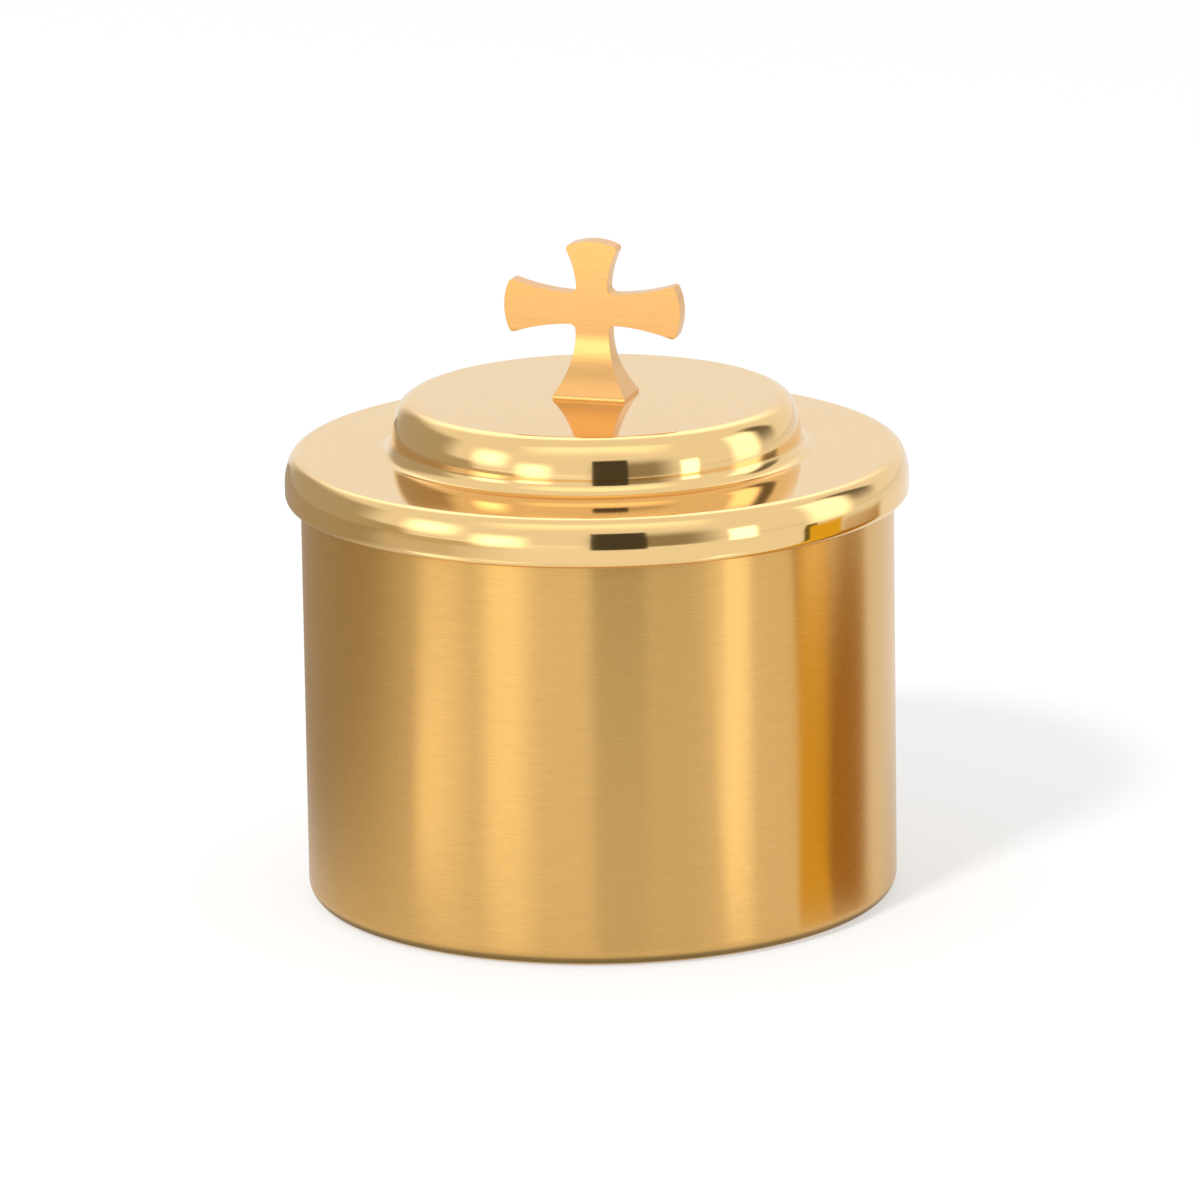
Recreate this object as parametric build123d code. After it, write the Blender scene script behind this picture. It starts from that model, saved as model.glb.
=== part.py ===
"""Standing pyx: a drawn brass cup, a spun lift-off lid and a cast cross finial.

Millimetres, +Z up, origin at the centre of the plane that the cup stands on.
The cross faces -Y and its arms run along X.
"""
import os
from math import atan2, degrees

from build123d import *

# Cup
cup_diameter = 82.5
cup_height = 62.5
cup_wall = 1.0
cup_corner_radius = 2.5
mouth_edge_radius = 0.3
foot_ring_width = 6.0
base_dish_depth = 0.8

# Cover of the lid
cover_gauge = 0.85
cover_overhang = 2.15
rim_shoulder_height = 4.1
rim_side_lean = 0.5
skirt_straight = 1.5
lip_bend_radius = 0.25
lip_clearance = 0.4

# Raised middle of the cover
boss_diameter = 56.9
boss_height = 7.45
boss_shoulder_width = 3.35
boss_side_lean = 0.6
boss_fillet_radius = 1.9

# Bezel that finds the mouth of the cup
bezel_gauge = 0.9
bezel_depth = 6.0
bezel_clearance = 0.4
bezel_lead_in = 0.35

# Cross
cross_width = 25.4
cross_height = 22.0
cross_thickness = 2.5
cross_edge_radius = 0.45
arm_centre_height = 12.4
arm_waist = 4.4
stem_width = 4.8
stem_straight = 1.0
arm_end = 7.7
arm_end_crown = 0.9
arm_tip_radius = 0.6
crossing_radius = 0.9
foot_width = 10.4
foot_depth = 7.0
foot_lip = 0.4
side_flare_drop = 0.2

# Stud below the cross, with its washer and nut
stud_diameter = 3.0
stud_stand_out = 1.2
stud_end_chamfer = 0.3
stud_hole_clearance = 0.2
washer_diameter = 7.0
washer_thickness = 0.5
washer_clearance = 0.1
nut_across_flats = 5.5
nut_height = 2.4
nut_corner_chamfer = 0.35
thread_clearance = 0.05

# Lengths closer than this count as equal
MODEL_TOLERANCE = 1e-5

# Radii and heights that several pieces share
cup_radius = cup_diameter / 2
mouth_radius = cup_radius - cup_wall
rim_radius = cup_radius + cover_overhang
shelf_edge_radius = cup_radius - mouth_edge_radius / 2
shelf_height = cup_height + cover_gauge
boss_top = shelf_height + boss_height
foot_front_flare = arm_centre_height - arm_waist / 2 - stem_straight
foot_side_flare = foot_front_flare - side_flare_drop
stud_radius = stud_diameter / 2
stud_hole_radius = stud_radius + stud_hole_clearance
washer_top = boss_top - cover_gauge
nut_top = washer_top - washer_thickness
nut_bottom = nut_top - nut_height


def same(value, other):
    """Whether two lengths agree within the modelling tolerance."""
    return abs(value - other) < MODEL_TOLERANCE


def flatten(edges):
    """One plain list from edges and lists of edges."""
    return [edge for item in edges for edge in (item if isinstance(item, list) else [item])]


def turned(*edges):
    """Solid turned about Z from a closed profile drawn as (radius, height)."""
    return revolve(Plane.XZ * make_face(flatten(edges)), Axis.Z)


def shoulder(flat_radius, spring_height, width, height, lean, depth=0):
    """Quarter of an oval, from a flat out to the widest point of a shoulder, as two tangent arcs.

    The corner arc takes up all of the width but the lean, and the side arc follows from it.
    Depth gives the same shoulder further inside the sheet.
    """
    corner_radius = width - lean
    side_radius = (width**2 + height**2 - 2 * height * corner_radius) / (2 * lean)
    corner_centre = (flat_radius, spring_height + height - corner_radius)
    side_centre = (flat_radius + width - side_radius, spring_height)
    joint_angle = degrees(atan2(height - corner_radius, side_radius - width))
    return [
        CenterArc(corner_centre, corner_radius - depth, joint_angle, 90 - joint_angle),
        CenterArc(side_centre, side_radius - depth, 0, joint_angle),
    ]


def body_cup():
    """Cup with a round lower corner, a ring to stand on and a dished base."""
    ring_outer = cup_radius - cup_corner_radius
    ring_inner = ring_outer - foot_ring_width
    corner_centre = (ring_outer, cup_corner_radius)
    lip_start = cup_height - mouth_edge_radius
    outer_lip = (cup_radius - mouth_edge_radius, lip_start)
    inner_lip = (mouth_radius + mouth_edge_radius, lip_start)
    return turned(
        TangentArc((0, base_dish_depth), (ring_inner, 0), tangent=(1, 0)),
        Line((ring_inner, 0), (ring_outer, 0)),
        CenterArc(corner_centre, cup_corner_radius, 270, 90),
        Line((cup_radius, cup_corner_radius), (cup_radius, lip_start)),
        CenterArc(outer_lip, mouth_edge_radius, 0, 90),
        Line((outer_lip[0], cup_height), (inner_lip[0], cup_height)),
        CenterArc(inner_lip, mouth_edge_radius, 90, 90),
        Line((mouth_radius, lip_start), (mouth_radius, cup_corner_radius)),
        CenterArc(corner_centre, cup_corner_radius - cup_wall, 270, 90),
        Line((ring_outer, cup_wall), (ring_inner, cup_wall)),
        TangentArc((0, base_dish_depth + cup_wall), (ring_inner, cup_wall), tangent=(1, 0)),
        Line((0, base_dish_depth + cup_wall), (0, base_dish_depth)),
    )


def lid_cover():
    """Spun cover: raised middle, hollow fillet, shelf, shoulder, skirt and a lip turned in below."""
    shelf_under = shelf_height - cover_gauge
    rim_width = rim_radius - shelf_edge_radius
    rim_spring = shelf_height - rim_shoulder_height
    bend_outer = lip_bend_radius + cover_gauge
    bend_centre = (rim_radius - bend_outer, rim_spring - skirt_straight)
    lip_bottom = bend_centre[1] - bend_outer
    lip_edge = cup_radius + lip_clearance
    boss_radius = boss_diameter / 2
    boss_flat = boss_radius - boss_shoulder_width
    boss_spring = shelf_height + boss_fillet_radius
    boss_rise = boss_top - boss_spring
    rim_shoulder = (shelf_edge_radius, rim_spring, rim_width, rim_shoulder_height, rim_side_lean)
    boss_shoulder = (boss_flat, boss_spring, boss_shoulder_width, boss_rise, boss_side_lean)
    fillet_centre = (boss_radius + boss_fillet_radius, boss_spring)
    return turned(
        Line((stud_hole_radius, boss_top), (boss_flat, boss_top)),
        shoulder(*boss_shoulder),
        CenterArc(fillet_centre, boss_fillet_radius, 180, 90),
        Line((fillet_centre[0], shelf_height), (shelf_edge_radius, shelf_height)),
        shoulder(*rim_shoulder),
        Line((rim_radius, rim_spring), (rim_radius, bend_centre[1])),
        CenterArc(bend_centre, bend_outer, 270, 90),
        Line((bend_centre[0], lip_bottom), (lip_edge, lip_bottom)),
        Line((lip_edge, lip_bottom), (lip_edge, lip_bottom + cover_gauge)),
        Line((lip_edge, lip_bottom + cover_gauge), (bend_centre[0], lip_bottom + cover_gauge)),
        CenterArc(bend_centre, lip_bend_radius, 270, 90),
        Line((rim_radius - cover_gauge, bend_centre[1]), (rim_radius - cover_gauge, rim_spring)),
        shoulder(*rim_shoulder, cover_gauge),
        Line((shelf_edge_radius, shelf_under), (fillet_centre[0], shelf_under)),
        CenterArc(fillet_centre, boss_fillet_radius + cover_gauge, 180, 90),
        shoulder(*boss_shoulder, cover_gauge),
        Line((boss_flat, washer_top), (stud_hole_radius, washer_top)),
        Line((stud_hole_radius, washer_top), (stud_hole_radius, boss_top)),
    )


def lid_bezel():
    """Plain ring under the cover, with a lead-in at its lower outer edge."""
    outer = mouth_radius - bezel_clearance
    inner = outer - bezel_gauge
    top = shelf_height - cover_gauge
    bottom = top - bezel_depth
    return turned(
        Polyline(
            (inner, top),
            (inner, bottom),
            (outer - bezel_lead_in, bottom),
            (outer, bottom + bezel_lead_in),
            (outer, top),
            close=True,
        )
    )


def cross_front():
    """Front view of the cross: flared arms with crowned ends on a stem that flares into a foot."""
    waist = arm_waist / 2
    stem = stem_width / 2
    end = arm_end / 2
    foot = foot_width / 2
    low = arm_centre_height - waist
    high = arm_centre_height + waist
    side_tip = cross_width / 2 - arm_end_crown
    top_tip = cross_height - arm_end_crown
    right_half = [
        Line((0, 0), (foot, 0)),
        Line((foot, 0), (foot, foot_lip)),
        TangentArc((stem, foot_front_flare), (foot, foot_lip), tangent=(0, -1)),
        Line((stem, foot_front_flare), (stem, low)),
        TangentArc((stem, low), (side_tip, arm_centre_height - end), tangent=(1, 0)),
        ThreePointArc(
            (side_tip, arm_centre_height - end),
            (cross_width / 2, arm_centre_height),
            (side_tip, arm_centre_height + end),
        ),
        TangentArc((waist, high), (side_tip, arm_centre_height + end), tangent=(1, 0)),
        TangentArc((waist, high), (end, top_tip), tangent=(0, 1)),
    ]
    crown = ThreePointArc((end, top_tip), (0, cross_height), (-end, top_tip))
    outline = make_face(right_half + [crown] + [mirror(edge, Plane.YZ) for edge in right_half])
    crossing = outline.vertices().filter_by(
        lambda v: same(abs(v.X), waist) and same(v.Y, high) or same(abs(v.X), stem) and same(v.Y, low)
    )
    outline = fillet(crossing, crossing_radius)
    tips = outline.vertices().filter_by(
        lambda v: same(abs(v.X), side_tip) or same(v.Y, top_tip)
    )
    return fillet(tips, arm_tip_radius)


def cross_side():
    """Side view of the cross: a plate of even thickness that flares into the foot."""
    half = cross_thickness / 2
    foot = foot_depth / 2
    right_half = [
        Line((0, 0), (foot, 0)),
        Line((foot, 0), (foot, foot_lip)),
        TangentArc((half, foot_side_flare), (foot, foot_lip), tangent=(0, -1)),
        Line((half, foot_side_flare), (half, cross_height)),
        Line((half, cross_height), (0, cross_height)),
    ]
    return make_face(right_half + [mirror(edge, Plane.YZ) for edge in right_half])


def cross_finial():
    """Cast cross, common to its front and side views, with the stud that holds the lid together."""
    front = extrude(Plane.XZ * cross_front(), foot_depth, both=True)
    side = extrude(Plane.YZ * cross_side(), cross_width, both=True)
    cross = front & side
    plate_faces = cross.faces().filter_by(Axis.Y).sort_by(SortBy.AREA)[-2:]
    plate_rims = plate_faces.edges().filter_by(lambda e: not same(e.center().Z, foot_side_flare))
    cross = fillet(plate_rims, cross_edge_radius)
    stud_length = boss_top - nut_bottom + stud_stand_out
    stud = Cylinder(stud_radius, stud_length, align=(Align.CENTER, Align.CENTER, Align.MAX))
    stud = chamfer(stud.edges().group_by(Axis.Z)[0], stud_end_chamfer)
    return Pos(0, 0, boss_top) * (cross + stud)


def finial_washer():
    """Plain round washer inside the raised middle of the cover."""
    disc = Cylinder(washer_diameter / 2, washer_thickness)
    bore = Cylinder(stud_radius + washer_clearance, washer_thickness)
    return Pos(0, 0, washer_top - washer_thickness / 2) * (disc - bore)


def finial_nut():
    """Hexagon nut with its corners turned off above and below."""
    prism = extrude(RegularPolygon(nut_across_flats / 2, 6, major_radius=False), nut_height / 2, both=True)
    corner_radius = prism.bounding_box().max.X
    blank = chamfer(Cylinder(corner_radius, nut_height).edges().filter_by(GeomType.CIRCLE), nut_corner_chamfer)
    bore = Cylinder(stud_radius + thread_clearance, nut_height)
    return Pos(0, 0, nut_top - nut_height / 2) * ((prism & blank) - bore)


pieces = [body_cup, lid_cover, lid_bezel, cross_finial, finial_washer, finial_nut]

os.makedirs("parts", exist_ok=True)
for piece in pieces:
    export_step(piece(), f"parts/{piece.__name__}.step")
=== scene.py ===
"""Looks of a standing pyx: a satin brass cup, a polished lift-off lid and a cast cross.

Laid out as an add-on and run as a script. Metres, +Z up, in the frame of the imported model.
"""
import math

import bmesh
import bpy
from bpy.props import FloatProperty, FloatVectorProperty, IntProperty, PointerProperty
from mathutils import Matrix, Vector


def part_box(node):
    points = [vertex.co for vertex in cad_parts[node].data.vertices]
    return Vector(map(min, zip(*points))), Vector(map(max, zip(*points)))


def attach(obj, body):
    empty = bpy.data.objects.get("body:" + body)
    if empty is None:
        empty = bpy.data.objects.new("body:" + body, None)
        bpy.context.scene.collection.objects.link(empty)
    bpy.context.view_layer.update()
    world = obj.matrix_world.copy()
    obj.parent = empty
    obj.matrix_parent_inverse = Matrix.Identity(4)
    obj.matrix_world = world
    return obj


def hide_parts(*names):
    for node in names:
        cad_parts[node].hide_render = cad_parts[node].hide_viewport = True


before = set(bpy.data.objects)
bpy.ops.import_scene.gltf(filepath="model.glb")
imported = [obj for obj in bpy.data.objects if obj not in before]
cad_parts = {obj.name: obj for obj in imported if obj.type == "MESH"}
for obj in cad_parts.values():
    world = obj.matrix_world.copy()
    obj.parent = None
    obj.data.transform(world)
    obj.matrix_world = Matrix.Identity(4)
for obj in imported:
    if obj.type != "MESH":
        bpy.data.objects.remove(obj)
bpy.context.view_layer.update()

bl_info = {
    "name": "Standing pyx",
    "version": (1, 0, 0),
    "blender": (4, 5, 0),
    "location": "View3D > Sidebar > Pyx",
    "description": "Builds the visible pieces and the stage of a standing pyx",
    "category": "Object",
}

MM = 0.001
QUARTER = math.pi / 2
WELD = 1e-7  # metres within which two points count as one
ARC_STEP = 0.25 * MM  # length of a straight step along the cross's arcs
THREAD_DEPTH = 0.54  # of a metric thread, as a share of its pitch
STUD_SEGMENTS = 48
SENSOR_WIDTH = 36  # millimetres, as on a full-frame camera


def half_width(node):
    """Half of a node's width along X."""
    low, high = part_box(node)
    return (high.x - low.x) / 2


def level(node, top):
    """Height of a node's top or bottom."""
    low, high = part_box(node)
    return high.z if top else low.z


def linear(hex_colour):
    """Linear RGBA from an sRGB hex colour."""
    parts = [int(hex_colour[i:i + 2], 16) / 255 for i in (0, 2, 4)]
    return [c / 12.92 if c <= 0.04045 else ((c + 0.055) / 1.055) ** 2.4 for c in parts] + [1.0]


def length(name, description, default):
    """A length in metres that the user may change."""
    return FloatProperty(name=name, description=description, default=default, unit="LENGTH", precision=5)


def colour(name, description, hex_colour):
    """A colour that the user may change, given as sRGB hex."""
    return FloatVectorProperty(
        name=name, description=description, default=linear(hex_colour), size=4, subtype="COLOR", min=0, max=1
    )


class CupSizes(bpy.types.PropertyGroup):
    radius: length("Radius", "Outside radius of the cup", half_width("body_cup"))
    height: length("Height", "Height of the cup's mouth", level("body_cup", True))
    wall: length("Wall", "Thickness of the cup's wall", 1.0 * MM)
    corner: length("Corner", "Outside radius of the lower corner", 2.5 * MM)
    mouth_round: length("Mouth round", "Radius of the mouth's edges", 0.3 * MM)
    ring: length("Ring", "Width of the ring that the cup stands on", 6.0 * MM)
    dish: length("Dish", "How far the middle of the base is raised", 0.8 * MM)
    tint: colour("Satin brass", "Colour of the brushed cup", "e3b66e")


class LidSizes(bpy.types.PropertyGroup):
    gauge: length("Gauge", "Thickness of the lid's sheet", 0.85 * MM)
    rim_radius: length("Rim radius", "Outside radius of the cover", half_width("lid_cover"))
    shelf_edge: length("Shelf edge", "Radius where the flat shelf ends", 41.1 * MM)
    shelf_height: length("Shelf height", "Height of the flat shelf", 63.35 * MM)
    rim_height: length("Rim height", "Height of the cover's shoulder", 4.1 * MM)
    rim_lean: length("Rim lean", "How far the side of the shoulder leans in", 0.5 * MM)
    skirt: length("Skirt", "Straight height below the shoulder", 1.5 * MM)
    lip_bend: length("Lip bend", "Inside radius of the lip's bend", 0.25 * MM)
    lip_edge: length("Lip edge", "Inside radius of the turned-in lip", 41.65 * MM)
    boss_radius: length("Boss radius", "Radius of the raised middle where it is steepest", 28.45 * MM)
    boss_top: length("Boss top", "Height of the raised middle's flat top", level("lid_cover", True))
    boss_shoulder: length("Boss shoulder", "Width of the raised middle's shoulder", 3.35 * MM)
    boss_lean: length("Boss lean", "How far the side of the raised middle leans in", 0.6 * MM)
    boss_fillet: length("Boss fillet", "Hollow radius between the raised middle and the shelf", 1.9 * MM)
    stud_hole: length("Stud hole", "Radius of the hole for the stud", 1.7 * MM)
    tint: colour("Polished brass", "Colour of the polished lid", "f3ce90")


class BezelSizes(bpy.types.PropertyGroup):
    radius: length("Radius", "Outside radius of the bezel", half_width("lid_bezel"))
    gauge: length("Gauge", "Thickness of the bezel", 0.9 * MM)
    lead_in: length("Lead-in", "Slope at the bezel's lower outer edge", 0.35 * MM)


class CrossSizes(bpy.types.PropertyGroup):
    half_span: length("Half span", "From the axis to the end of a side arm", half_width("cross_finial"))
    base: length("Base", "Height of the foot's underside", level("lid_cover", True))
    height: length("Height", "Height of the cross above its foot",
                   level("cross_finial", True) - level("lid_cover", True))
    thickness: length("Thickness", "Thickness of the arms", 2.5 * MM)
    edge: length("Edge", "Rounding of the cast edges", 0.4 * MM)
    arm_height: length("Arm height", "Height of the side arms' middle above the foot", 12.4 * MM)
    waist: length("Waist", "Width of an arm at the crossing", 4.4 * MM)
    stem: length("Stem", "Width of the stem below the crossing", 4.8 * MM)
    arm_end: length("Arm end", "Width of an arm at its end", 7.7 * MM)
    crown: length("Crown", "How far an arm's end is rounded out", 0.9 * MM)
    tip: length("Tip", "Radius of the corners at an arm's end", 0.6 * MM)
    crossing: length("Crossing", "Radius between neighbouring arms", 0.9 * MM)
    foot_width: length("Foot width", "Width of the foot", 10.4 * MM)
    foot_depth: length("Foot depth", "Depth of the foot", 7.0 * MM)
    foot_lip: length("Foot lip", "Height of the foot's upright edge", 0.4 * MM)
    front_flare: length("Front flare", "Height where the stem starts to widen", 9.2 * MM)
    side_flare: length("Side flare", "Height where the stem starts to thicken", 9.0 * MM)
    stud: length("Stud", "Radius of the stud under the foot", 1.5 * MM)
    pitch: length("Pitch", "Pitch of the stud's thread", 0.5 * MM)
    tint: colour("Cast brass", "Colour of the cast cross", "e8b472")


class FastenerSizes(bpy.types.PropertyGroup):
    tint: colour("Machined brass", "Colour of the nut and the washer", "d8b27a")


class StageSizes(bpy.types.PropertyGroup):
    azimuth: FloatProperty(name="Azimuth", description="Camera's turn from the front towards +X",
                           default=math.radians(16.9), subtype="ANGLE")
    elevation: FloatProperty(name="Elevation", description="Camera's height above the horizon",
                             default=math.radians(14.35), subtype="ANGLE")
    roll: FloatProperty(name="Roll", description="Camera's lean to the left",
                        default=math.radians(0.87), subtype="ANGLE")
    distance: FloatProperty(name="Distance", description="Camera's distance from its target",
                            default=1.375, unit="LENGTH")
    target_side: length("Target side", "Camera's target to the right of the axis", 0.155 * MM)
    target_height: length("Target height", "Height of the camera's target", 41.4 * MM)
    lens: FloatProperty(name="Lens", description="Focal length in millimetres", default=295.8)
    contact: length("Contact", "How far the contact shade reaches beyond the cup", 0.2 * MM)
    contact_lift: length("Contact lift", "Height of the contact shade above the floor", 0.5 * MM)
    contact_tint: colour("Contact tint", "Colour of the contact shade", "8c8f92")
    floor: colour("Floor", "Colour of the floor", "ffffff")
    floor_size: length("Floor size", "Half of the floor's width", 4.0)
    floor_grey: FloatProperty(name="Floor grey", description="Share of the light that the floor scatters",
                              default=0.4)
    floor_seen: FloatProperty(name="Floor seen", description="Lift that makes the floor white to the camera",
                              default=0.51)
    floor_mirrored: FloatProperty(name="Floor mirrored", description="Lift of the floor in reflections",
                                  default=0.42)
    room: FloatProperty(name="Room", description="Level of the room's even light, where 1 is white",
                        default=0.96)
    key_power: FloatProperty(name="Key power", description="Power of the key lamp in watts", default=44.0)
    key_size: length("Key size", "Width of the key lamp", 0.35)
    key_azimuth: FloatProperty(
        name="Key azimuth", description="Key lamp's azimuth from the camera's, in degrees", default=-30.0
    )
    key_distance: length("Key distance", "Key lamp's level distance from the axis", 2.0)
    key_height: length("Key height", "Height of the key lamp", 1.8)
    key_target: length("Key target", "Height that the key lamp points at", 0.03)
    segments: IntProperty(name="Segments", description="Segments round the turned pieces", default=256)


def draw_point(bm, radius, height):
    """First point of a profile in the XZ plane."""
    return bmesh.ops.create_vert(bm, co=(radius, 0, height))["vert"][0]


def draw_line(bm, point, radius, height, hold=0.0):
    """Straight run to a point, with points close to both ends where a flat must stay flat."""
    start, end = point.co.copy(), Vector((radius, 0, height))
    stops = [end]
    if hold:
        step = (end - start).normalized() * hold
        stops = [start + step, end - step, end]
    for stop in stops:
        point = bmesh.ops.extrude_vert_indiv(bm, verts=[point])["verts"][0]
        point.co = stop
    return point


def draw_arc(bm, point, centre, angle, steps):
    """Arc about a centre (radius, height), anticlockwise for a positive angle in radians."""
    made = bmesh.ops.spin(
        bm, geom=[point], cent=(centre[0], 0, centre[1]), axis=(0, -1, 0), angle=angle, steps=steps
    )
    return next(part for part in made["geom_last"] if isinstance(part, bmesh.types.BMVert))


def draw_arc_to(bm, point, centre, end):
    """Arc about a centre to an end, the short way round, in steps of about ARC_STEP."""
    start = Vector((point.co.x, point.co.z)) - centre
    angle = -start.angle_signed(end - centre)
    return draw_arc(bm, point, centre, angle, max(2, round(abs(angle) * start.length / ARC_STEP)))


def meeting(first, first_reach, second, second_reach, near):
    """Point at given distances from two centres, the one that lies nearer to a given point."""
    apart = second - first
    along = (first_reach**2 - second_reach**2 + apart.length_squared) / (2 * apart.length)
    aside = math.sqrt(first_reach**2 - along**2) * apart.orthogonal().normalized()
    middle = first + apart.normalized() * along
    return min((middle + aside, middle - aside), key=lambda spot: (spot - near).length)


def on_ring(centre, toward, reach):
    """Point at a distance from a centre towards another point."""
    return centre + (toward - centre).normalized() * reach


def turn(bm, segments):
    """Turns the drawn profile round Z into a closed shell."""
    bmesh.ops.spin(
        bm, geom=bm.verts[:] + bm.edges[:], cent=(0, 0, 0), axis=(0, 0, 1),
        angle=2 * math.pi, steps=segments, use_merge=True,
    )
    bmesh.ops.remove_doubles(bm, verts=bm.verts[:], dist=WELD)
    bmesh.ops.recalc_face_normals(bm, faces=bm.faces[:])


def shoulder_arcs(flat_radius, spring, width, height, lean):
    """Centres, radii and the joint angle of the two tangent arcs of a shoulder."""
    corner = width - lean
    side = (width**2 + height**2 - 2 * height * corner) / (2 * lean)
    corner_centre = (flat_radius, spring + height - corner)
    side_centre = (flat_radius + width - side, spring)
    joint = math.atan2(height - corner, side - width)
    return corner_centre, side_centre, joint


def finish_mesh(bm, name, material, sharp=math.radians(40)):
    """Makes a smooth object at the origin from a bmesh."""
    mesh = bpy.data.meshes.new(name)
    bm.to_mesh(mesh)
    bm.free()
    mesh.polygons.foreach_set("use_smooth", [True] * len(mesh.polygons))
    mesh.set_sharp_from_angle(angle=sharp)
    mesh.materials.append(material)
    piece = bpy.data.objects.new(name, mesh)
    bpy.context.scene.collection.objects.link(piece)
    return piece


def add_node(tree, kind, inputs=None, **settings):
    """Adds a node with its settings, and sets or links its inputs."""
    made = tree.nodes.new(kind)
    for name, value in settings.items():
        setattr(made, name, value)
    for socket, value in (inputs or {}).items():
        if isinstance(value, bpy.types.NodeSocket):
            tree.links.new(value, made.inputs[socket])
        else:
            made.inputs[socket].default_value = value
    return made


def blank_material(name):
    """Material with an empty node tree."""
    material = bpy.data.materials.new(name)
    material.use_nodes = True
    material.node_tree.nodes.clear()
    return material, material.node_tree


def bare_metal(name):
    """Material with a metallic Principled shader and its output."""
    material, tree = blank_material(name)
    shader = add_node(tree, "ShaderNodeBsdfPrincipled", {"Metallic": 1.0})
    add_node(tree, "ShaderNodeOutputMaterial", {"Surface": shader.outputs[0]})
    return material, tree, shader


def ring_lines(tree, spacing, lines_per_turn):
    """Noise drawn out round Z: fine level lines on a wall and fine rings on a flat."""
    place = add_node(tree, "ShaderNodeTexCoord").outputs["Object"]
    flat = add_node(tree, "ShaderNodeVectorMath", {0: place, 1: (1, 1, 0)}, operation="MULTIPLY").outputs[0]
    radius = add_node(tree, "ShaderNodeVectorMath", {0: flat}, operation="LENGTH").outputs["Value"]
    round_axis = add_node(tree, "ShaderNodeVectorMath", {0: flat}, operation="NORMALIZE").outputs[0]
    height = add_node(tree, "ShaderNodeSeparateXYZ", {0: place}).outputs["Z"]
    across = add_node(tree, "ShaderNodeMath", {0: radius, 1: height}, operation="ADD").outputs[0]
    across = add_node(tree, "ShaderNodeMath", {0: across, 1: 1 / spacing}, operation="MULTIPLY").outputs[0]
    along = add_node(
        tree, "ShaderNodeVectorMath", {0: round_axis, "Scale": lines_per_turn / (2 * math.pi)},
        operation="SCALE",
    ).outputs[0]
    lift = add_node(tree, "ShaderNodeCombineXYZ", {"Z": across}).outputs[0]
    vector = add_node(tree, "ShaderNodeVectorMath", {0: along, 1: lift}, operation="ADD").outputs[0]
    noise = add_node(
        tree, "ShaderNodeTexNoise", {"Vector": vector, "Scale": 1.0, "Detail": 3.0, "Roughness": 0.6}
    )
    return noise.outputs["Fac"]


def streak(tree, shader, pattern, tint, dark, rough):
    """Lets a pattern darken the tint down to a share of it and move the roughness between two values."""
    # Noise lies mostly in its middle half, which is spread over the whole range.
    middle = {"Value": pattern, "From Min": 0.25, "From Max": 0.75}
    share = add_node(tree, "ShaderNodeMapRange", middle).outputs[0]
    darker = [part * dark for part in tint[:3]] + [1.0]
    shades = add_node(tree, "ShaderNodeMix", {0: share, 6: darker, 7: tint}, data_type="RGBA")
    tree.links.new(shades.outputs[2], shader.inputs["Base Color"])
    gloss = add_node(tree, "ShaderNodeMapRange", {**middle, "To Min": rough[0], "To Max": rough[1]})
    tree.links.new(gloss.outputs[0], shader.inputs["Roughness"])


def satin_brass(tint):
    """Brass brushed round the axis: light is drawn out into upright bands, with fine level lines in them."""
    material, tree, shader = bare_metal("satin_brushed_brass")
    # Real brush lines are about 0.05 mm apart. They are drawn 0.3 mm apart so that they show.
    lines = ring_lines(tree, 0.3 * MM, 60)
    streak(tree, shader, lines, tint, dark=0.91, rough=(0.25, 0.28))
    # A quarter turn draws the highlights out across the brush lines.
    shader.inputs["Anisotropic"].default_value = 1.0
    shader.inputs["Anisotropic Rotation"].default_value = 0.25
    tangent = add_node(tree, "ShaderNodeTangent", direction_type="RADIAL", axis="Z")
    tree.links.new(tangent.outputs[0], shader.inputs["Tangent"])
    bump = add_node(tree, "ShaderNodeBump", {"Height": lines, "Strength": 0.5, "Distance": 0.0004 * MM})
    tree.links.new(bump.outputs[0], shader.inputs["Normal"])
    return material


def polished_brass(tint):
    """Brass spun and buffed to a mirror: sharp reflections that sway a little with the spun sheet."""
    material, tree, shader = bare_metal("polished_spun_brass")
    # Buffing leaves hairlines far under 0.05 mm. They are drawn 0.5 mm apart, as a faint change of gloss.
    lines = ring_lines(tree, 0.5 * MM, 8)
    streak(tree, shader, lines, tint, dark=0.97, rough=(0.055, 0.085))
    place = add_node(tree, "ShaderNodeTexCoord").outputs["Object"]
    sway = add_node(tree, "ShaderNodeTexNoise", {"Vector": place, "Scale": 1 / (9 * MM), "Detail": 1.0})
    bump = add_node(
        tree, "ShaderNodeBump", {"Height": sway.outputs["Fac"], "Strength": 1.0, "Distance": 0.006 * MM}
    )
    tree.links.new(bump.outputs[0], shader.inputs["Normal"])
    return material


def cast_brass(tint):
    """Cast brass, filed and polished by hand: soft reflections with faint file strokes."""
    material, tree, shader = bare_metal("cast_polished_brass")
    place = add_node(tree, "ShaderNodeTexCoord").outputs["Object"]
    # Strokes run across the cross. Real ones are about 0.1 mm apart.
    # They are drawn 0.6 mm apart so that they show.
    drawn = add_node(tree, "ShaderNodeMapping", {"Vector": place, "Scale": (0.06, 1.0, 1.0)}).outputs[0]
    strokes = add_node(tree, "ShaderNodeTexNoise", {"Vector": drawn, "Scale": 1 / (0.6 * MM), "Detail": 3.0})
    strokes = strokes.outputs["Fac"]
    streak(tree, shader, strokes, tint, dark=0.92, rough=(0.17, 0.25))
    bump = add_node(tree, "ShaderNodeBump", {"Height": strokes, "Strength": 0.4, "Distance": 0.01 * MM})
    tree.links.new(bump.outputs[0], shader.inputs["Normal"])
    return material


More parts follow.
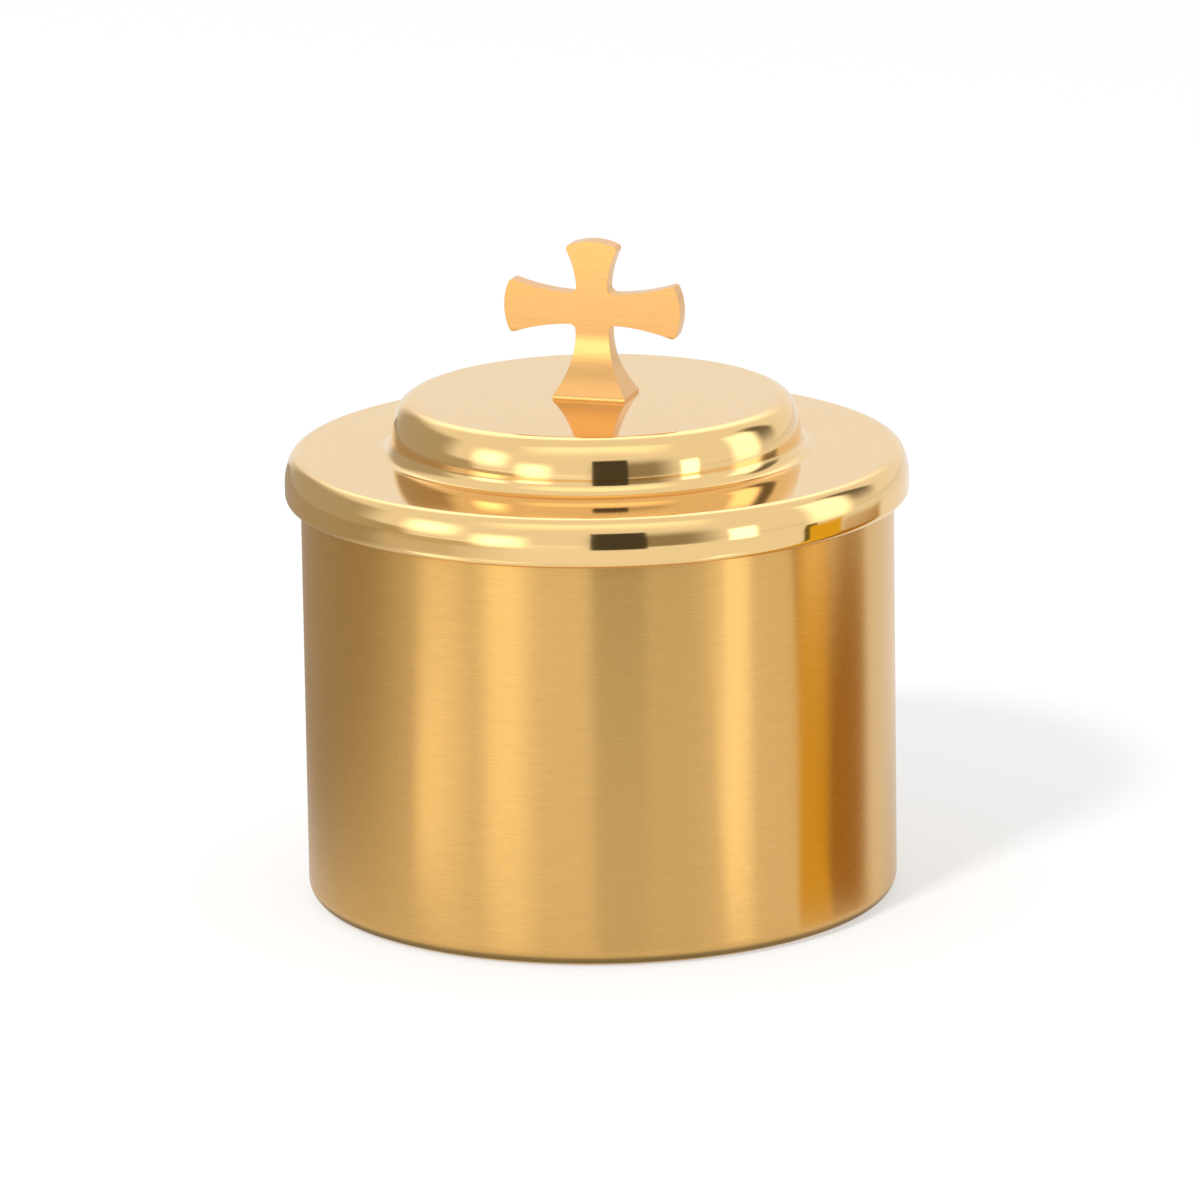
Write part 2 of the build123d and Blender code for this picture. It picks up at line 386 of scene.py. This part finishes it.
def machined_brass(tint):
    """Brass turned on a lathe: fine tool rings on the flats and a duller gloss than the lid's."""
    material, tree, shader = bare_metal("machined_brass")
    lines = ring_lines(tree, 0.15 * MM, 6)
    streak(tree, shader, lines, tint, dark=0.85, rough=(0.22, 0.34))
    bump = add_node(tree, "ShaderNodeBump", {"Height": lines, "Strength": 0.5, "Distance": 0.006 * MM})
    tree.links.new(bump.outputs[0], shader.inputs["Normal"])
    return material


def lid_brass():
    """The lid's polished brass, made once for all of its sheet pieces."""
    found = bpy.data.materials.get("polished_spun_brass")
    return found or polished_brass(bpy.context.scene.pyx_lid.tint[:])


class PYX_OT_make_cup(bpy.types.Operator):
    """Turns the brushed cup with its round lower corner and dished base"""
    bl_idname = "pyx.make_cup"
    bl_label = "Make the cup"

    def execute(self, context):
        p = context.scene.pyx_cup
        ring_outer = p.radius - p.corner
        ring_inner = ring_outer - p.ring
        inner = p.radius - p.wall
        dish_radius = (ring_inner**2 + p.dish**2) / (2 * p.dish)
        dish_angle = math.asin(ring_inner / dish_radius)
        hold = 0.15 * MM
        bm = bmesh.new()
        v = draw_point(bm, 0, p.dish)
        v = draw_arc(bm, v, (0, p.dish - dish_radius), -dish_angle, 24)
        v = draw_line(bm, v, ring_outer, 0, hold)
        v = draw_arc(bm, v, (ring_outer, p.corner), QUARTER, 20)
        v = draw_line(bm, v, p.radius, p.height - p.mouth_round, hold)
        v = draw_arc(bm, v, (p.radius - p.mouth_round, p.height - p.mouth_round), QUARTER, 6)
        v = draw_line(bm, v, inner + p.mouth_round, p.height, hold / 3)
        v = draw_arc(bm, v, (inner + p.mouth_round, p.height - p.mouth_round), QUARTER, 6)
        v = draw_line(bm, v, inner, p.corner, hold)
        v = draw_arc(bm, v, (ring_outer, p.corner), -QUARTER, 16)
        v = draw_line(bm, v, ring_inner, p.wall, hold)
        draw_arc(bm, v, (0, p.wall + p.dish - dish_radius), dish_angle, 24)
        turn(bm, context.scene.pyx_stage.segments)
        cup = finish_mesh(bm, "cup", satin_brass(p.tint[:]))
        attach(cup, "cup")
        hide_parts("body_cup")
        return {"FINISHED"}


class PYX_OT_make_cover(bpy.types.Operator):
    """Turns the polished cover: raised middle, hollow fillet, shelf, shoulder, skirt and turned-in lip"""
    bl_idname = "pyx.make_cover"
    bl_label = "Make the cover"

    def execute(self, context):
        p = context.scene.pyx_lid
        g = p.gauge
        hold = 0.15 * MM
        boss_flat = p.boss_radius - p.boss_shoulder
        boss_spring = p.shelf_height + p.boss_fillet
        boss = shoulder_arcs(boss_flat, boss_spring, p.boss_shoulder, p.boss_top - boss_spring, p.boss_lean)
        fillet = (p.boss_radius + p.boss_fillet, boss_spring)
        spring = p.shelf_height - p.rim_height
        rim = shoulder_arcs(p.shelf_edge, spring, p.rim_radius - p.shelf_edge, p.rim_height, p.rim_lean)
        bend = p.lip_bend + g
        bend_centre = (p.rim_radius - bend, spring - p.skirt)
        bm = bmesh.new()
        first = draw_point(bm, p.stud_hole, p.boss_top)
        v = draw_line(bm, first, boss_flat, p.boss_top, hold)
        v = draw_arc(bm, v, boss[0], boss[2] - QUARTER, 32)
        v = draw_arc(bm, v, boss[1], -boss[2], 20)
        v = draw_arc(bm, v, fillet, QUARTER, 24)
        v = draw_line(bm, v, p.shelf_edge, p.shelf_height, hold)
        v = draw_arc(bm, v, rim[0], rim[2] - QUARTER, 24)
        v = draw_arc(bm, v, rim[1], -rim[2], 16)
        v = draw_line(bm, v, p.rim_radius, bend_centre[1], hold)
        v = draw_arc(bm, v, bend_centre, -QUARTER, 16)
        v = draw_line(bm, v, p.lip_edge, bend_centre[1] - bend, hold / 3)
        v = draw_line(bm, v, p.lip_edge, bend_centre[1] - p.lip_bend, hold / 3)
        v = draw_line(bm, v, bend_centre[0], bend_centre[1] - p.lip_bend, hold / 3)
        v = draw_arc(bm, v, bend_centre, QUARTER, 8)
        v = draw_line(bm, v, p.rim_radius - g, spring, hold)
        v = draw_arc(bm, v, rim[1], rim[2], 8)
        v = draw_arc(bm, v, rim[0], QUARTER - rim[2], 12)
        v = draw_line(bm, v, fillet[0], p.shelf_height - g, hold)
        v = draw_arc(bm, v, fillet, -QUARTER, 16)
        v = draw_arc(bm, v, boss[1], boss[2], 10)
        v = draw_arc(bm, v, boss[0], QUARTER - boss[2], 16)
        v = draw_line(bm, v, p.stud_hole, p.boss_top - g, hold)
        bm.edges.new((v, first))
        turn(bm, context.scene.pyx_stage.segments)
        cover = finish_mesh(bm, "cover", lid_brass())
        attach(cover, "lid")
        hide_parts("lid_cover")
        return {"FINISHED"}


class PYX_OT_make_bezel(bpy.types.Operator):
    """Turns the plain ring that finds the mouth of the cup"""
    bl_idname = "pyx.make_bezel"
    bl_label = "Make the bezel"

    def execute(self, context):
        p = context.scene.pyx_bezel
        top, bottom = level("lid_bezel", True), level("lid_bezel", False)
        inner = p.radius - p.gauge
        hold = 0.1 * MM
        bm = bmesh.new()
        first = draw_point(bm, inner, top)
        v = draw_line(bm, first, inner, bottom, hold)
        v = draw_line(bm, v, p.radius - p.lead_in, bottom, hold)
        v = draw_line(bm, v, p.radius, bottom + p.lead_in, hold)
        v = draw_line(bm, v, p.radius, top, hold)
        bm.edges.new((v, first))
        turn(bm, context.scene.pyx_stage.segments)
        bezel = finish_mesh(bm, "bezel", lid_brass())
        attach(bezel, "bezel")
        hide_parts("lid_bezel")
        return {"FINISHED"}


class PYX_OT_make_cross(bpy.types.Operator):
    """Casts the cross: flared arms, a stem that flares into the foot, soft edges and the stud below"""
    bl_idname = "pyx.make_cross"
    bl_label = "Make the cross"

    def execute(self, context):
        p = context.scene.pyx_cross
        bm = bmesh.new()
        self.draw_half(bm, p)
        bmesh.ops.mirror(bm, geom=bm.verts[:] + bm.edges[:], axis="X", merge_dist=WELD)
        bmesh.ops.remove_doubles(bm, verts=bm.verts[:], dist=WELD)
        bmesh.ops.edgeloop_fill(bm, edges=bm.edges[:])
        self.thicken(bm, p)
        self.round_edges(bm, p)
        self.add_stud(bm, p)
        bmesh.ops.translate(bm, verts=bm.verts[:], vec=(0, 0, p.base))
        cross = finish_mesh(bm, "cross", cast_brass(p.tint[:]), math.radians(50))
        # The broad faces keep the shading of flats, and the rounded edges take up the turn between them.
        cross.modifiers.new("flat_faces", "WEIGHTED_NORMAL").keep_sharp = True
        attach(cross, "lid")
        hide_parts("cross_finial")
        return {"FINISHED"}

    def draw_half(self, bm, p):
        """Right half of the front outline, from the middle of the foot up to the middle of the top arm."""
        waist, stem, end = p.waist / 2, p.stem / 2, p.arm_end / 2
        foot = p.foot_width / 2
        low, high = p.arm_height - waist, p.arm_height + waist
        tip_x, tip_z = p.half_span - p.crown, p.height - p.crown
        flare_rise, flare_run = p.front_flare - p.foot_lip, foot - stem
        flare_radius = (flare_run**2 + flare_rise**2) / (2 * flare_run)
        flare = Vector((stem + flare_radius, p.front_flare))
        under_run, over_run, rise = tip_x - stem, tip_x - waist, end - waist
        under_radius = (under_run**2 + rise**2) / (2 * rise)
        under = Vector((stem, low - under_radius))
        over_radius = (over_run**2 + rise**2) / (2 * rise)
        over = Vector((waist, high + over_radius))
        upper_run = tip_z - high
        upper_radius = (upper_run**2 + rise**2) / (2 * rise)
        upper = Vector((waist + upper_radius, high))
        crown_radius = (end**2 + p.crown**2) / (2 * p.crown)
        side_crown = Vector((p.half_span - crown_radius, p.arm_height))
        top_crown = Vector((0, p.height - crown_radius))
        r, t = p.crossing, p.tip
        low_corner = meeting(flare, flare_radius - r, under, under_radius - r, Vector((stem, low)))
        high_corner = meeting(over, over_radius - r, upper, upper_radius - r, Vector((waist, high)))
        low_end, high_end = Vector((tip_x, p.arm_height - end)), Vector((tip_x, p.arm_height + end))
        low_tip = meeting(under, under_radius + t, side_crown, crown_radius - t, low_end)
        high_tip = meeting(over, over_radius + t, side_crown, crown_radius - t, high_end)
        top_tip = meeting(upper, upper_radius + t, top_crown, crown_radius - t, Vector((end, tip_z)))
        v = draw_point(bm, 0, 0)
        v = draw_line(bm, v, foot, 0)
        v = draw_line(bm, v, foot, p.foot_lip)
        v = draw_arc_to(bm, v, flare, on_ring(flare, low_corner, flare_radius))
        v = draw_arc_to(bm, v, low_corner, on_ring(under, low_corner, under_radius))
        v = draw_arc_to(bm, v, under, on_ring(under, low_tip, under_radius))
        v = draw_arc_to(bm, v, low_tip, on_ring(side_crown, low_tip, crown_radius))
        v = draw_arc_to(bm, v, side_crown, on_ring(side_crown, high_tip, crown_radius))
        v = draw_arc_to(bm, v, high_tip, on_ring(over, high_tip, over_radius))
        v = draw_arc_to(bm, v, over, on_ring(over, high_corner, over_radius))
        v = draw_arc_to(bm, v, high_corner, on_ring(upper, high_corner, upper_radius))
        v = draw_arc_to(bm, v, upper, on_ring(upper, top_tip, upper_radius))
        v = draw_arc_to(bm, v, top_tip, on_ring(top_crown, top_tip, crown_radius))
        draw_arc_to(bm, v, top_crown, Vector((0, p.height)))

    def thicken(self, bm, p):
        """Cuts the stem into levels, gives the outline its thickness and flares it into the foot."""
        levels = 24
        for step in range(levels + 1):
            height = p.foot_lip + (p.side_flare - p.foot_lip) * step / levels
            bmesh.ops.bisect_plane(
                bm, geom=bm.verts[:] + bm.edges[:] + bm.faces[:], dist=WELD,
                plane_co=(0, 0, height), plane_no=(0, 0, 1),
            )
        bmesh.ops.translate(bm, verts=bm.verts[:], vec=(0, -1, 0))
        raised = bmesh.ops.extrude_face_region(bm, geom=bm.faces[:])["geom"]
        moved = [part for part in raised if isinstance(part, bmesh.types.BMVert)]
        bmesh.ops.translate(bm, verts=moved, vec=(0, 2, 0))
        half, foot = p.thickness / 2, p.foot_depth / 2
        rise = p.side_flare - p.foot_lip
        radius = ((foot - half) ** 2 + rise**2) / (2 * (foot - half))
        for vert in bm.verts:
            below = min(max(p.side_flare - vert.co.z, 0), rise)
            vert.co.y *= half + radius - math.sqrt(radius**2 - below**2)
        bmesh.ops.recalc_face_normals(bm, faces=bm.faces[:])

    def round_edges(self, bm, p):
        """Rounds the cast edges all round, apart from the ones that the foot stands on."""
        edges = [
            edge for edge in bm.edges
            if edge.calc_face_angle(0) > math.radians(45)
            and max(vert.co.z for vert in edge.verts) > p.foot_lip / 2
        ]
        bmesh.ops.bevel(
            bm, geom=edges, offset=p.edge, offset_type="OFFSET", segments=5, profile=0.5,
            affect="EDGES", material=-1, clamp_overlap=True,
        )

    def add_stud(self, bm, p):
        """Turns the threaded stud, drawn as rings a pitch apart, and joins it to the foot's underside."""
        bottom = level("cross_finial", False) - p.base
        depth = THREAD_DEPTH * p.pitch
        rod = bmesh.new()
        v = draw_point(rod, 0, bottom)
        v = draw_line(rod, v, p.stud - depth, bottom)
        height = bottom + p.pitch / 2
        while height < level("finial_nut", True) - p.base:
            v = draw_line(rod, v, p.stud, height)
            v = draw_line(rod, v, p.stud - depth, height + p.pitch / 2)
            height += p.pitch
        v = draw_line(rod, v, p.stud, height)
        v = draw_line(rod, v, p.stud, p.foot_lip / 2)
        draw_line(rod, v, 0, p.foot_lip / 2)
        turn(rod, STUD_SEGMENTS)
        made = bpy.data.meshes.new("stud")
        rod.to_mesh(made)
        rod.free()
        bm.from_mesh(made)
        bpy.data.meshes.remove(made)


class PYX_OT_finish_fasteners(bpy.types.Operator):
    """Gives the nut and the washer inside the lid their finish"""
    bl_idname = "pyx.finish_fasteners"
    bl_label = "Finish the fasteners"

    def execute(self, context):
        brass = machined_brass(context.scene.pyx_fastener.tint[:])
        for name in ("finial_washer", "finial_nut"):
            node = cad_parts[name]
            node.data.materials.clear()
            node.data.materials.append(brass)
        return {"FINISHED"}


def bearing(azimuth):
    """Level direction at an azimuth in degrees from the camera's own, positive to the right."""
    turned = bpy.context.scene.pyx_stage.azimuth + math.radians(azimuth)
    return Vector((math.sin(turned), -math.cos(turned), 0))


def glow(name, tint, strength, softness):
    """Lit card for reflections, bright in the middle and fading to its edges where it is soft."""
    material, tree = blank_material(name)
    light = add_node(tree, "ShaderNodeEmission", {"Color": tint, "Strength": strength})
    surface = light.outputs[0]
    if softness:
        place = add_node(tree, "ShaderNodeTexCoord").outputs["UV"]
        parts = add_node(tree, "ShaderNodeSeparateXYZ", {0: place})
        fades = []
        for axis in ("X", "Y"):
            offset = add_node(tree, "ShaderNodeMath", {0: parts.outputs[axis], 1: 0.5}, operation="SUBTRACT")
            away = add_node(tree, "ShaderNodeMath", {0: offset.outputs[0]}, operation="ABSOLUTE")
            fades.append(add_node(
                tree, "ShaderNodeMapRange",
                {"Value": away.outputs[0], "From Min": 0.5 * (1 - softness), "From Max": 0.5,
                 "To Min": 1.0, "To Max": 0.0},
                interpolation_type="SMOOTHSTEP",
            ).outputs[0])
        both = add_node(tree, "ShaderNodeMath", {0: fades[0], 1: fades[1]}, operation="MULTIPLY")
        clear = add_node(tree, "ShaderNodeBsdfTransparent")
        surface = add_node(
            tree, "ShaderNodeMixShader", {0: both.outputs[0], 1: clear.outputs[0], 2: surface}
        ).outputs[0]
    add_node(tree, "ShaderNodeOutputMaterial", {"Surface": surface})
    return material


def hide_card(piece):
    """Leaves a stage piece to reflections alone."""
    piece.visible_camera = False
    piece.visible_diffuse = False
    piece.visible_shadow = False
    piece.visible_transmission = False


def card(name, foot, head, widths, tint, strength, softness):
    """Card that only reflections see, from a lower to an upper edge given as (azimuth, distance, height)."""
    lower = bearing(foot[0]) * foot[1] + Vector((0, 0, foot[2]))
    upper = bearing(head[0]) * head[1] + Vector((0, 0, head[2]))
    across = bearing((foot[0] + head[0]) / 2).cross(Vector((0, 0, 1)))
    bm = bmesh.new()
    bmesh.ops.create_grid(bm, x_segments=1, y_segments=1, size=0.5)
    layer = bm.loops.layers.uv.new("UVMap")
    for face in bm.faces:
        for loop in face.loops:
            loop[layer].uv = loop.vert.co.xy + Vector((0.5, 0.5))
    for vert in bm.verts:
        side, share = vert.co.x, vert.co.y + 0.5
        width = widths[0] + (widths[1] - widths[0]) * share
        vert.co = lower.lerp(upper, share) + across * side * width
    hide_card(finish_mesh(bm, name, glow(name, linear(tint), strength, softness)))


# Cards that only reflections see: name, lower and upper edge as (azimuth in degrees from the camera's own,
# distance, height) in metres, widths of the two edges, colour, strength and softness.
CARDS = (
    # Soft boxes.
    ("top_softbox", (0, 0.9, 0.5), (0, 0.4, 1.2), (1.8, 1.8), "fffaf0", 1.45, 0.6),
    ("back_softbox", (180, 1.0, 0.4), (180, 0.7, 1.6), (1.6, 1.6), "ffffff", 1.7, 0.7),
    ("far_left_softbox", (-61, 0.4, 0.05), (-61, 0.4, 0.265), (0.22, 0.22), "fffaf0", 2.6, 0.9),
    ("left_softbox", (-34.5, 0.36, -0.022), (-34.5, 0.36, 0.165), (0.17, 0.17), "fff8ea", 2.6, 0.8),
    ("right_strip", (51.5, 0.4, -0.02), (51.5, 0.4, 0.15), (0.087, 0.087), "fffaf0", 2.8, 0.35),
    ("right_softbox", (91, 0.5, -0.06), (91, 0.5, 0.42), (0.25, 0.25), "fffdf8", 1.9, 0.6),
    # Dim cards, which give the polished lid its dark tones.
    ("dark_right", (111, 0.48, 0.024), (111, 0.48, 0.516), (0.19, 0.19), "fff6e8", 0.2, 0.7),
    ("dim_right", (20, 0.45, -0.09), (20, 0.45, 0.25), (0.48, 0.48), "fff2d8", 0.33, 0.7),
    ("dim_back_left", (-122, 0.5, -0.3), (-122, 0.5, 0.47), (0.85, 0.85), "fff6e8", 0.48, 0.5),
    ("dim_left_low", (-85, 0.45, 0.0), (-85, 0.45, 0.11), (0.3, 0.3), "fff2d8", 0.5, 0.5),
    ("dim_table_left", (-114, 0.0, 0.001), (-114, 0.7, 0.001), (0.2, 1.3), "fff0d8", 0.42, 0.3),
    ("dim_floor_left", (-52, 0.15, 0.0012), (-52, 0.9, 0.0012), (0.2, 1.0), "fff0d6", 0.62, 0.45),
    ("camera_card", (7, 0.3, 0.002), (7, 0.3, 0.174), (0.105, 0.105), "4d4a42", 1.0, 0.08),
    # Warm cards close to the cup, which give its right side the orange and brown bands.
    ("warm_card", (49.8, 0.0443, -0.005), (73.6, 0.0935, 0.053), (0.009, 0.027), "f2c638", 0.92, 0.2),
    ("brown_card", (55.4, 0.0406, -0.0107), (93.6, 0.092, 0.053), (0.012, 0.05), "b98a3c", 0.9, 0.4),
    ("dark_card", (65.5, 0.09, 0.035), (66.9, 0.0966, 0.053), (0.0085, 0.0085), "706530", 1.0, 0.1),
    # Bright streaks on the table, which give the cup its upright light bands.
    ("strip_on_table", (32, 0.0504, 0.002), (47.5, 0.168, 0.002), (0.0095, 0.047), "fffaf0", 1.8, 0.9),
    ("left_on_table", (-20.5, 0.0508, 0.002), (-29.5, 0.1697, 0.002), (0.018, 0.088), "fff8ea", 1.42, 1.0),
    ("far_left_on_table", (-38.3, 0.05, 0.002), (-56.9, 0.1663, 0.002), (0.018, 0.09), "fff8ea", 2.05, 1.0),
)


class PYX_OT_set_stage(bpy.types.Operator):
    """Sets the floor, the light and the camera"""
    bl_idname = "pyx.set_stage"
    bl_label = "Set the stage"

    def execute(self, context):
        scene = context.scene
        p = scene.pyx_stage
        self.lay_floor(p)
        self.light_room(scene, p)
        for settings in CARDS:
            card(*settings)
        self.shade_contact(p)
        self.place_camera(scene, p)
        scene.view_settings.view_transform = "Standard"
        return {"FINISHED"}

    def lay_floor(self, p):
        """White floor that keeps its shadow: grey paint for the lamps, lifted to white for the camera."""
        bm = bmesh.new()
        bmesh.ops.create_grid(bm, x_segments=1, y_segments=1, size=p.floor_size)
        material, tree = blank_material("white_table")
        path = add_node(tree, "ShaderNodeLightPath").outputs
        seen = add_node(
            tree, "ShaderNodeMath", {0: path["Is Camera Ray"], 1: path["Is Transmission Ray"]},
            operation="MAXIMUM",
        ).outputs[0]
        seen = add_node(tree, "ShaderNodeMath", {0: seen, 1: p.floor_seen}, operation="MULTIPLY").outputs[0]
        mirrored = add_node(
            tree, "ShaderNodeMath", {0: path["Is Glossy Ray"], 1: p.floor_mirrored}, operation="MULTIPLY"
        ).outputs[0]
        strength = add_node(tree, "ShaderNodeMath", {0: seen, 1: mirrored}, operation="MAXIMUM").outputs[0]
        base = add_node(tree, "ShaderNodeBsdfDiffuse", {"Color": [p.floor_grey] * 3 + [1.0]})
        lift = add_node(tree, "ShaderNodeEmission", {"Color": p.floor[:], "Strength": strength})
        both = add_node(tree, "ShaderNodeAddShader", {0: base.outputs[0], 1: lift.outputs[0]})
        add_node(tree, "ShaderNodeOutputMaterial", {"Surface": both.outputs[0]})
        finish_mesh(bm, "table", material)

    def shade_contact(self, p):
        """Dark disc whose edge the cup's lower corner mirrors just above the table."""
        bm = bmesh.new()
        radius = bpy.context.scene.pyx_cup.radius + p.contact
        bmesh.ops.create_circle(bm, cap_ends=True, segments=p.segments, radius=radius)
        bmesh.ops.translate(bm, verts=bm.verts[:], vec=(0, 0, p.contact_lift))
        hide_card(finish_mesh(bm, "contact_shade", glow("contact_shade", p.contact_tint[:], 1.0, 0.0)))

    def light_room(self, scene, p):
        """Even light all round, white to the camera, and a soft key lamp that reflections don't see."""
        world = bpy.data.worlds.new("studio")
        world.use_nodes = True
        scene.world = world
        tree = world.node_tree
        tree.nodes.clear()
        camera = add_node(tree, "ShaderNodeLightPath").outputs["Is Camera Ray"]
        strength = add_node(tree, "ShaderNodeMath", {0: camera, 1: p.room}, operation="MAXIMUM").outputs[0]
        back = add_node(tree, "ShaderNodeBackground", {"Color": (1, 1, 1, 1), "Strength": strength})
        add_node(tree, "ShaderNodeOutputWorld", {"Surface": back.outputs[0]})
        lamp = bpy.data.lights.new("key", "AREA")
        lamp.energy = p.key_power
        lamp.size = p.key_size
        key = bpy.data.objects.new("key", lamp)
        key.location = bearing(p.key_azimuth) * p.key_distance + Vector((0, 0, p.key_height))
        aim = Vector((0, 0, p.key_target)) - key.location
        key.rotation_euler = aim.to_track_quat("-Z", "Y").to_euler()
        key.visible_camera = False
        key.visible_glossy = False
        scene.collection.objects.link(key)

    def place_camera(self, scene, p):
        """Camera on a sphere round its target, leaned by its roll."""
        right = Vector((math.cos(p.azimuth), math.sin(p.azimuth), 0))
        back = Vector((
            math.sin(p.azimuth) * math.cos(p.elevation),
            -math.cos(p.azimuth) * math.cos(p.elevation),
            math.sin(p.elevation),
        ))
        up = back.cross(right)
        leaned_right = right * math.cos(p.roll) - up * math.sin(p.roll)
        leaned_up = right * math.sin(p.roll) + up * math.cos(p.roll)
        target = right * p.target_side + Vector((0, 0, p.target_height))
        view = bpy.data.cameras.new("camera")
        view.sensor_width = SENSOR_WIDTH
        view.lens = p.lens
        view.clip_start = 0.05
        camera = bpy.data.objects.new("camera", view)
        turned = Matrix((leaned_right, leaned_up, back)).transposed().to_4x4()
        camera.matrix_world = Matrix.Translation(target + back * p.distance) @ turned
        scene.collection.objects.link(camera)
        scene.camera = camera


class PYX_PT_pieces(bpy.types.Panel):
    """Lists the steps that build the pyx"""
    bl_idname = "PYX_PT_pieces"
    bl_label = "Standing pyx"
    bl_space_type = "VIEW_3D"
    bl_region_type = "UI"
    bl_category = "Pyx"

    def draw(self, context):
        for step in STEPS:
            self.layout.operator(step.bl_idname)


STEPS = (
    PYX_OT_make_cup,
    PYX_OT_make_cover,
    PYX_OT_make_bezel,
    PYX_OT_make_cross,
    PYX_OT_finish_fasteners,
    PYX_OT_set_stage,
)
GROUPS = {
    "pyx_cup": CupSizes,
    "pyx_lid": LidSizes,
    "pyx_bezel": BezelSizes,
    "pyx_cross": CrossSizes,
    "pyx_fastener": FastenerSizes,
    "pyx_stage": StageSizes,
}


def register():
    for group in GROUPS.values():
        bpy.utils.register_class(group)
    for name, group in GROUPS.items():
        setattr(bpy.types.Scene, name, PointerProperty(type=group))
    for step in STEPS:
        bpy.utils.register_class(step)
    bpy.utils.register_class(PYX_PT_pieces)


def unregister():
    bpy.utils.unregister_class(PYX_PT_pieces)
    for step in reversed(STEPS):
        bpy.utils.unregister_class(step)
    for name in GROUPS:
        delattr(bpy.types.Scene, name)
    for group in reversed(list(GROUPS.values())):
        bpy.utils.unregister_class(group)


def main():
    register()
    bpy.ops.pyx.make_cup()
    bpy.ops.pyx.make_cover()
    bpy.ops.pyx.make_bezel()
    bpy.ops.pyx.make_cross()
    bpy.ops.pyx.finish_fasteners()
    bpy.ops.pyx.set_stage()


if __name__ == "__main__":
    main()
